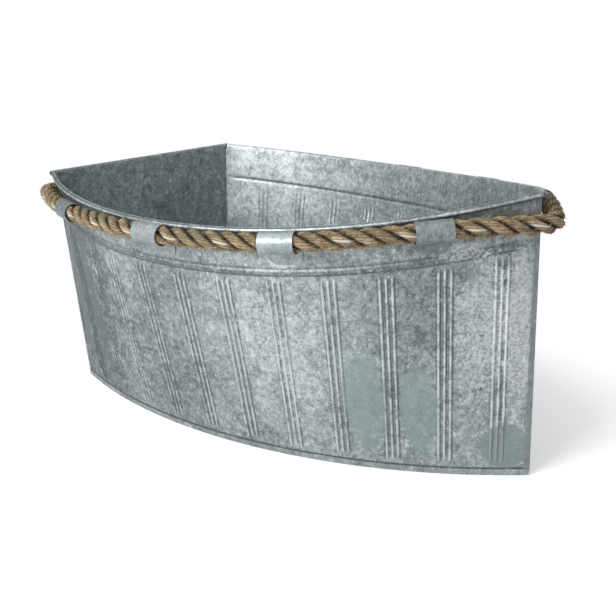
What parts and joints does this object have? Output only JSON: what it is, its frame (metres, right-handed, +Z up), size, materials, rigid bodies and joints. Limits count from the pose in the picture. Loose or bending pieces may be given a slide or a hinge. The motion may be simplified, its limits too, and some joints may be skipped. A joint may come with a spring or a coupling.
{
  "type": "boat-shaped floor planter",
  "caption": "Boat-shaped galvanised sheet planter with a flat transom, pointed bow, rolled wired rim, pressed ribs and a rope held round the outside by sheet straps.",
  "frame": {"origin": "middle of the overall length and width, at the underside of the floor pan", "axes": "+X to the pointed bow, +Y to the port side, +Z up"},
  "size_m": [0.5976, 0.4184, 0.2714],
  "materials": {
    "galvanised_sheet": "weathered zinc, satin",
    "steel_wire": "drawn wire",
    "laid_rope": "natural fibre, laid"
  },
  "bodies": {
    "root": {"floor_pan": "galvanised_sheet", "starboard_side_panel": "galvanised_sheet", "port_side_panel": "galvanised_sheet", "transom_panel": "galvanised_sheet", "bow_seam_strip": "galvanised_sheet", "starboard_rim_wire": "steel_wire", "port_rim_wire": "steel_wire", "transom_rim_wire": "steel_wire", "rope": "laid_rope", "transom_strap": "galvanised_sheet", "starboard_strap_1": "galvanised_sheet", "starboard_strap_2": "galvanised_sheet", "starboard_strap_3": "galvanised_sheet", "starboard_strap_4": "galvanised_sheet", "port_strap_1": "galvanised_sheet", "port_strap_2": "galvanised_sheet", "port_strap_3": "galvanised_sheet", "port_strap_4": "galvanised_sheet"}
  },
  "joints": []
}
